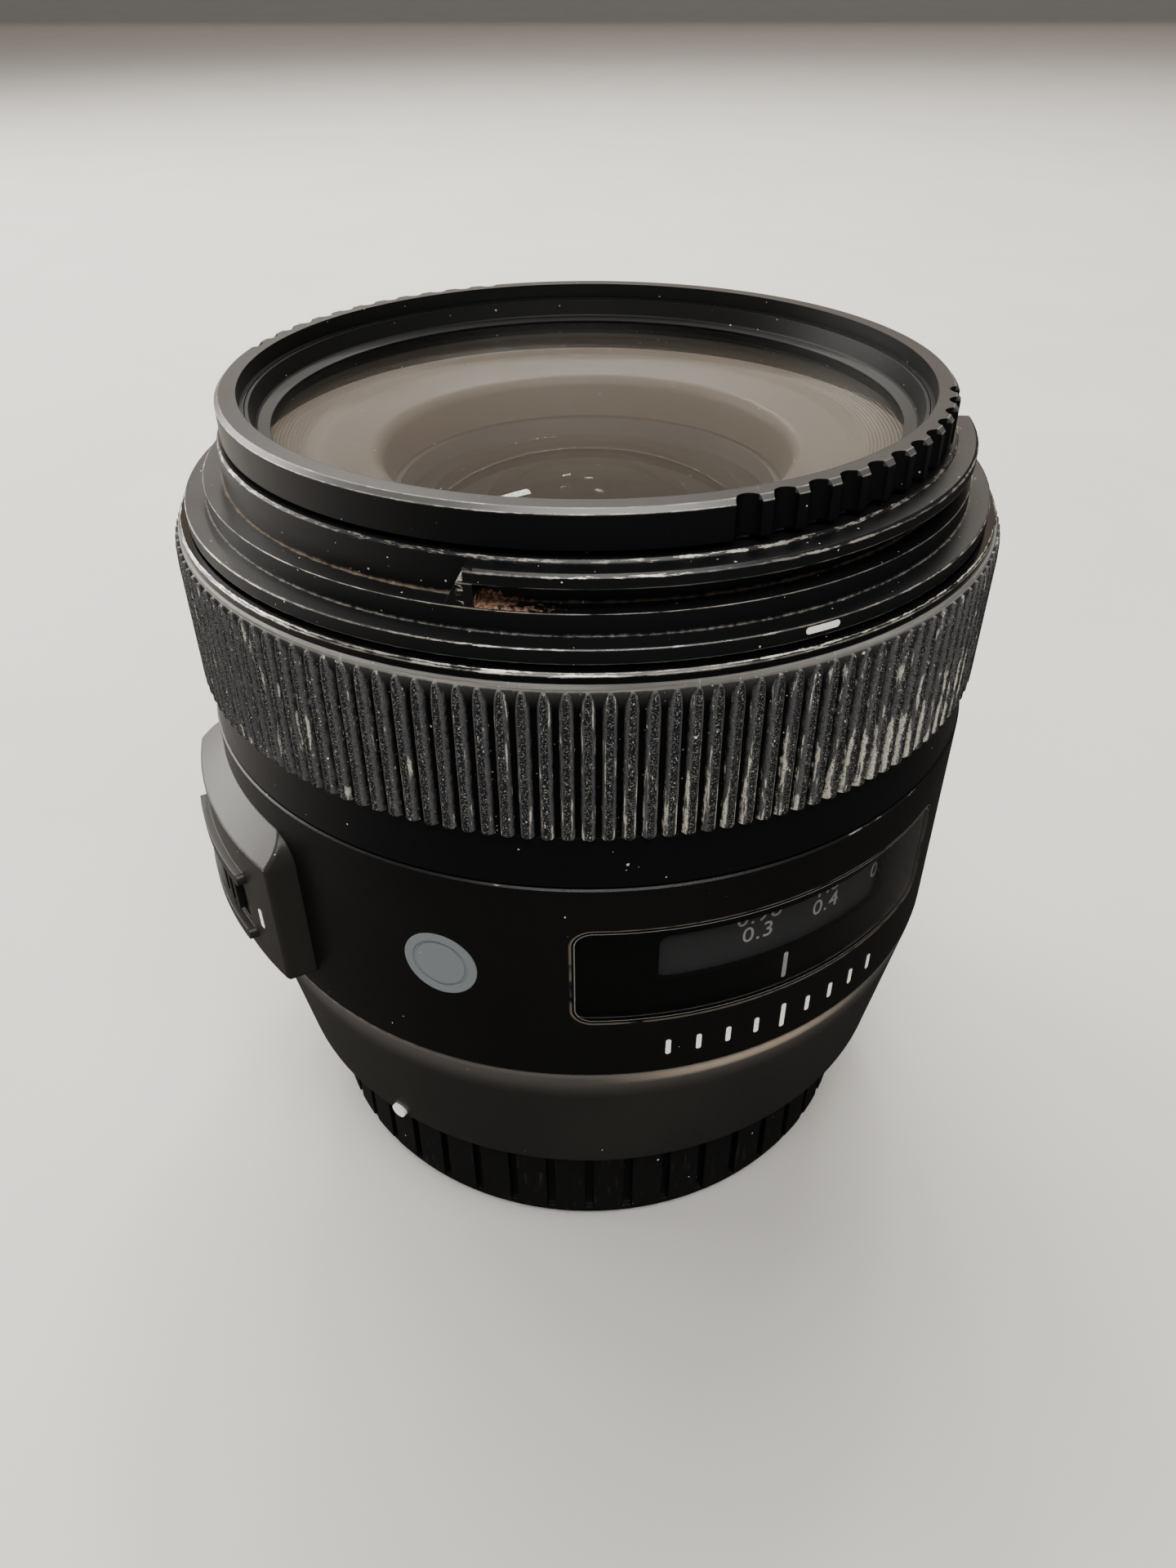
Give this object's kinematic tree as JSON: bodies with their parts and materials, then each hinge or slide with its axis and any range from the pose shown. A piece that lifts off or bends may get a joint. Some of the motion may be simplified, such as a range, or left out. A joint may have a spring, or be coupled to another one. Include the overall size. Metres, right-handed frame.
{
  "type": "prime camera lens",
  "caption": "Fast autofocus prime lens with ribbed focus grip, distance window, side switch pod, screw-in filter and rear cap, with its optics, iris and ring motor inside.",
  "frame": {"origin": "centre of the mount flange's rear face, on the optical axis", "axes": "+Z along the optical axis towards the front; the lens's own top is 27.9 degrees from -Y towards +X"},
  "size_m": [0.0758, 0.0742, 0.0807],
  "materials": {
    "badge_grey": "grey enamel",
    "black_anodised": "satin black anodised aluminium, rubbed at the edges",
    "blade_black": "thin blackened steel sheet",
    "board_green": "circuit board",
    "cap_black": "moulded black plastic",
    "coated_glass": "coated optical glass",
    "contact_gold": "gold-plated contacts",
    "filter_glass": "clear filter glass",
    "gloss_black": "gloss black",
    "grip_rubber": "charcoal rubber with pale wear",
    "inner_black": "matte black inner plastic",
    "mark_white": "white paint",
    "motor_ceramic": "sintered motor ring",
    "mount_chrome": "plated brass mount",
    "pod_black": "matte black moulded plastic",
    "ring_aluminium": "machined aluminium",
    "ring_brass": "machined brass",
    "shell_black": "aluminium with matte black paint",
    "steel": "bright steel",
    "window_clear": "clear smoked window plastic"
  },
  "bodies": {
    "barrel": {"front_barrel": "black_anodised", "name_ring": "inner_black", "front_group_cell": "inner_black", "front_retainer": "black_anodised", "lens_element_1": "coated_glass", "lens_element_2": "coated_glass", "guide_tube": "ring_aluminium", "motor_stator": "motor_ceramic", "motor_spring": "steel", "barrel_shell": "shell_black", "scale_window": "window_clear", "window_mask": "gloss_black", "badge": "badge_grey", "switch_panel": "pod_black", "mount_skirt": "shell_black", "bayonet_mount": "mount_chrome", "mount_screws": "steel", "contact_block": "inner_black", "contact_pins": "contact_gold", "main_board": "board_green", "paint_marks": "mark_white", "aperture_spring": "steel"},
    "focus_ring": {"focus_ring": "gloss_black", "focus_grip": "grip_rubber"},
    "cam_ring": {"cam_ring": "ring_brass", "distance_scale": "inner_black", "focus_drive_ring": "steel"},
    "focus_carriage": {"focus_carriage": "ring_aluminium", "rear_lens_cell": "black_anodised", "rear_retainer": "black_anodised", "iris_housing": "inner_black", "iris_cover": "blade_black", "cam_followers": "ring_brass", "lens_element_3": "coated_glass", "lens_element_4": "coated_glass", "lens_element_5": "coated_glass", "lens_element_6": "coated_glass", "lens_element_7": "coated_glass", "lens_element_8": "coated_glass", "lens_element_9": "coated_glass"},
    "aperture_lever": {"aperture_lever": "steel"},
    "iris_drive_ring": {"iris_drive_ring": "steel"},
    "motor_rotor": {"motor_rotor": "ring_aluminium"},
    "mode_switch": {"mode_switch": "cap_black"},
    "filter": {"filter_frame": "black_anodised", "filter_glass": "filter_glass", "filter_retainer": "black_anodised"},
    "rear_cap": {"rear_cap": "cap_black"},
    "iris_blade_1": {"iris_blade_1": "blade_black"},
    "iris_blade_2": {"iris_blade_2": "blade_black"},
    "iris_blade_3": {"iris_blade_3": "blade_black"},
    "iris_blade_4": {"iris_blade_4": "blade_black"},
    "iris_blade_5": {"iris_blade_5": "blade_black"},
    "iris_blade_6": {"iris_blade_6": "blade_black"},
    "iris_blade_7": {"iris_blade_7": "blade_black"},
    "iris_blade_8": {"iris_blade_8": "blade_black"},
    "iris_blade_9": {"iris_blade_9": "blade_black"},
    "drive_roller_1": {"drive_roller_1": "steel"},
    "drive_roller_2": {"drive_roller_2": "steel"},
    "drive_roller_3": {"drive_roller_3": "steel"}
  },
  "joints": [
    {"name": "focus_ring_turn", "type": "hinge", "parent": "barrel", "child": "focus_ring", "pos_m": [0, 0, 0], "axis": [0, 0, 1], "range_deg": [-68.3, 7.5]},
    {"name": "cam_ring_turn", "type": "hinge", "parent": "barrel", "child": "cam_ring", "pos_m": [0, 0, 0], "axis": [0, 0, 1], "range_deg": [-34.5, 4]},
    {"name": "focus_carriage_slide", "type": "slide", "parent": "barrel", "child": "focus_carriage", "axis": [0, 0, 1], "range_m": [-0.00407, 0.00043], "stiffness_N_per_m": 5, "springref_m": 0.182},
    {"name": "aperture_lever_turn", "type": "hinge", "parent": "barrel", "child": "aperture_lever", "pos_m": [0, 0, 0], "axis": [0, 0, 1], "range_deg": [0, 18], "stiffness_Nm_per_rad": 0.02, "springref_deg": -17.19, "deforming": ["aperture_spring"]},
    {"name": "iris_ring_turn", "type": "hinge", "parent": "focus_carriage", "child": "iris_drive_ring", "pos_m": [0, 0, 0], "axis": [0, 0, 1], "range_deg": [-0.2, 18.2]},
    {"name": "motor_rotor_turn", "type": "hinge", "parent": "barrel", "child": "motor_rotor", "pos_m": [0, 0, 0], "axis": [0, 0, 1], "range_deg": [-68, 7.2]},
    {"name": "mode_switch_slide", "type": "hinge", "parent": "barrel", "child": "mode_switch", "pos_m": [0, 0, 0], "axis": [0, 0, 1], "range_deg": [-8.4, 0]},
    {"name": "filter_unscrew", "type": "slide", "parent": "barrel", "child": "filter", "axis": [0, 0, 1], "range_m": [0, 0.02]},
    {"name": "rear_cap_turn", "type": "hinge", "parent": "barrel", "child": "rear_cap", "pos_m": [0, 0, 0], "axis": [0, 0, 1], "range_deg": [0, 58]},
    {"name": "iris_blade_1_turn", "type": "hinge", "parent": "focus_carriage", "child": "iris_blade_1", "pos_m": [0.0183, 0, 0.0312], "axis": [0, 0, 1], "range_deg": [-32.3, 0.3]},
    {"name": "iris_blade_2_turn", "type": "hinge", "parent": "focus_carriage", "child": "iris_blade_2", "pos_m": [0.01402, 0.01176, 0.0312], "axis": [0, 0, 1], "range_deg": [-32.3, 0.3]},
    {"name": "iris_blade_3_turn", "type": "hinge", "parent": "focus_carriage", "child": "iris_blade_3", "pos_m": [0.00318, 0.01802, 0.0312], "axis": [0, 0, 1], "range_deg": [-32.3, 0.3]},
    {"name": "iris_blade_4_turn", "type": "hinge", "parent": "focus_carriage", "child": "iris_blade_4", "pos_m": [-0.00915, 0.01585, 0.0312], "axis": [0, 0, 1], "range_deg": [-32.3, 0.3]},
    {"name": "iris_blade_5_turn", "type": "hinge", "parent": "focus_carriage", "child": "iris_blade_5", "pos_m": [-0.0172, 0.00626, 0.0312], "axis": [0, 0, 1], "range_deg": [-32.3, 0.3]},
    {"name": "iris_blade_6_turn", "type": "hinge", "parent": "focus_carriage", "child": "iris_blade_6", "pos_m": [-0.0172, -0.00626, 0.0312], "axis": [0, 0, 1], "range_deg": [-32.3, 0.3]},
    {"name": "iris_blade_7_turn", "type": "hinge", "parent": "focus_carriage", "child": "iris_blade_7", "pos_m": [-0.00915, -0.01585, 0.0312], "axis": [0, 0, 1], "range_deg": [-32.3, 0.3]},
    {"name": "iris_blade_8_turn", "type": "hinge", "parent": "focus_carriage", "child": "iris_blade_8", "pos_m": [0.00318, -0.01802, 0.0312], "axis": [0, 0, 1], "range_deg": [-32.3, 0.3]},
    {"name": "iris_blade_9_turn", "type": "hinge", "parent": "focus_carriage", "child": "iris_blade_9", "pos_m": [0.01402, -0.01176, 0.0312], "axis": [0, 0, 1], "range_deg": [-32.3, 0.3]},
    {"name": "drive_roller_1_spin", "type": "hinge", "parent": "cam_ring", "child": "drive_roller_1", "pos_m": [0.03007, -0.01094, 0.0417], "axis": [0.9397, -0.342, 0], "range_deg": [-650, 75]},
    {"name": "drive_roller_2_spin", "type": "hinge", "parent": "cam_ring", "child": "drive_roller_2", "pos_m": [-0.00556, 0.03151, 0.0417], "axis": [-0.1736, 0.9848, 0], "range_deg": [-650, 75]},
    {"name": "drive_roller_3_spin", "type": "hinge", "parent": "cam_ring", "child": "drive_roller_3", "pos_m": [-0.02451, -0.02057, 0.0417], "axis": [-0.766, -0.6428, 0], "range_deg": [-650, 75]}
  ],
  "couplings": [
    {"joint": "focus_ring_turn", "follows": "focus_carriage_slide", "rad_per_m": 291.67},
    {"joint": "cam_ring_turn", "follows": "focus_carriage_slide", "rad_per_m": 145.83},
    {"joint": "iris_ring_turn", "follows": "aperture_lever_turn", "ratio": 1},
    {"joint": "iris_blade_1_turn", "follows": "aperture_lever_turn", "ratio": -1.7778},
    {"joint": "iris_blade_2_turn", "follows": "aperture_lever_turn", "ratio": -1.7778},
    {"joint": "iris_blade_3_turn", "follows": "aperture_lever_turn", "ratio": -1.7778},
    {"joint": "iris_blade_4_turn", "follows": "aperture_lever_turn", "ratio": -1.7778},
    {"joint": "iris_blade_5_turn", "follows": "aperture_lever_turn", "ratio": -1.7778},
    {"joint": "iris_blade_6_turn", "follows": "aperture_lever_turn", "ratio": -1.7778},
    {"joint": "iris_blade_7_turn", "follows": "aperture_lever_turn", "ratio": -1.7778},
    {"joint": "iris_blade_8_turn", "follows": "aperture_lever_turn", "ratio": -1.7778},
    {"joint": "iris_blade_9_turn", "follows": "aperture_lever_turn", "ratio": -1.7778},
    {"joint": "drive_roller_1_spin", "follows": "focus_carriage_slide", "rad_per_m": 2765.6},
    {"joint": "drive_roller_2_spin", "follows": "focus_carriage_slide", "rad_per_m": 2765.6},
    {"joint": "drive_roller_3_spin", "follows": "focus_carriage_slide", "rad_per_m": 2765.6}
  ]
}
